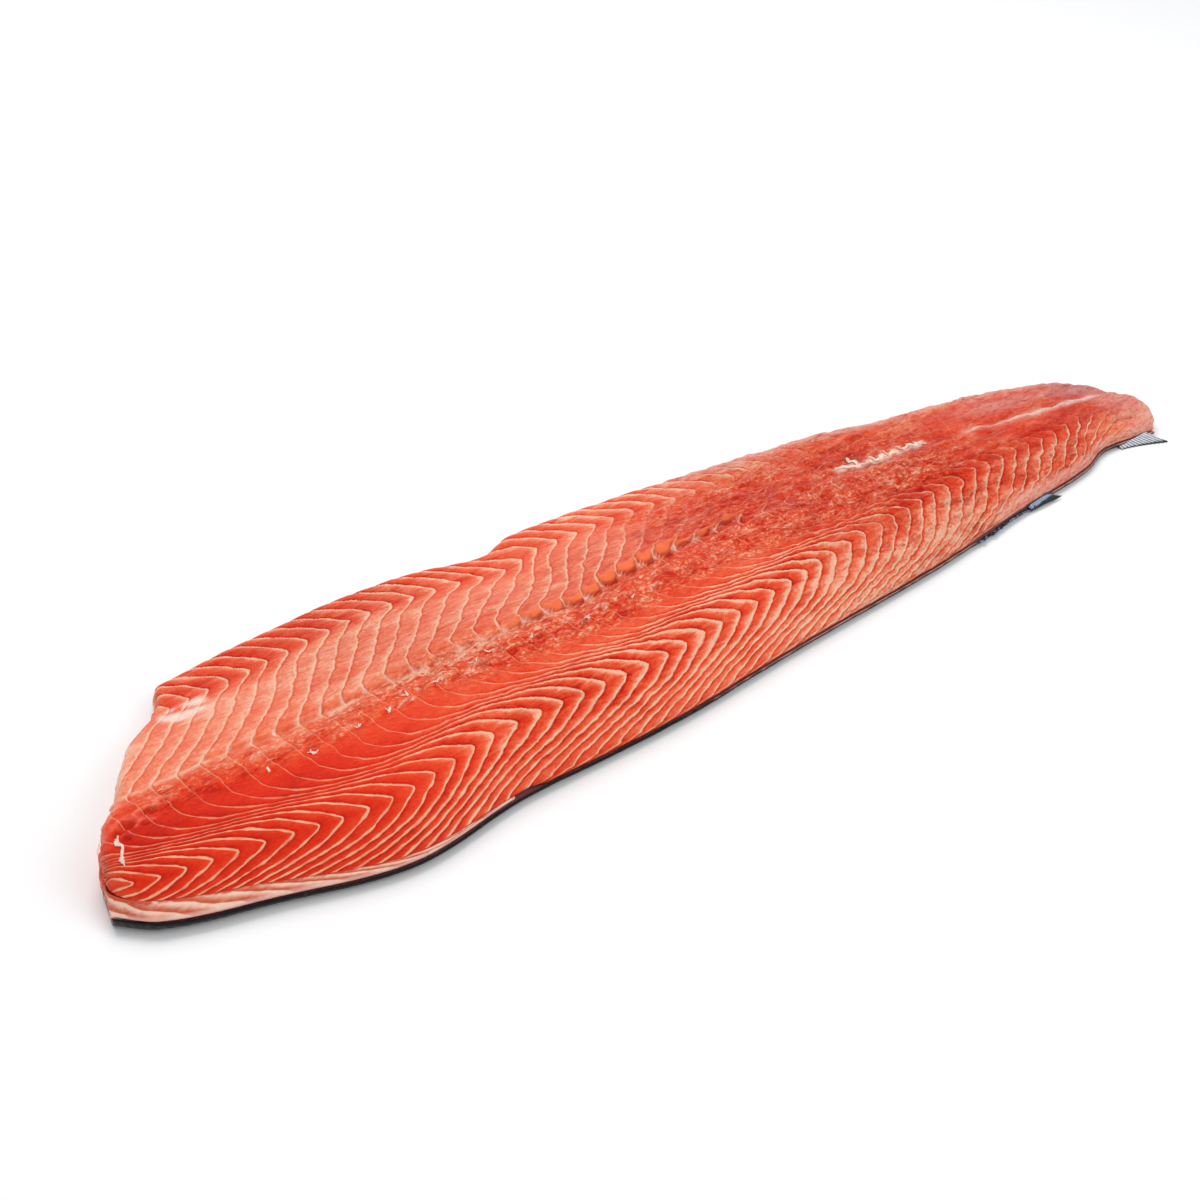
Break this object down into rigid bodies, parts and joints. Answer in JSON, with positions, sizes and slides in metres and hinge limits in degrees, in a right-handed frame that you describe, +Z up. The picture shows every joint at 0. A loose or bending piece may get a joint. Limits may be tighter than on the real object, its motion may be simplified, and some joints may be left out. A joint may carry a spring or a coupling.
{
  "type": "raw salmon fillet",
  "caption": "Whole raw salmon side lying skin down: thick loin along the back, thin belly, slanted head cut, tapering tail, skin on.",
  "frame": {"origin": "middle of the footprint, on the surface that the side lies on", "axes": "+X from the head cut to the tail, +Y from the back edge to the belly edge, +Z up through the cut face"},
  "size_m": [0.6776, 0.1878, 0.034],
  "materials": {
    "raw_flesh": "moist raw flesh with pale connective tissue lines",
    "pale_fat": "moist pale fat, streaked",
    "dark_skin": "wet scaled skin, dark back to silver belly",
    "fin_skin": "wet dark fin flap",
    "fin_root": "wet grey fin root with fine rays"
  },
  "bodies": {
    "root": {"flesh": "raw_flesh", "fat_band": "pale_fat", "skin": "dark_skin", "adipose_fin": "fin_skin", "tail_fin_root": "fin_root"}
  },
  "joints": []
}
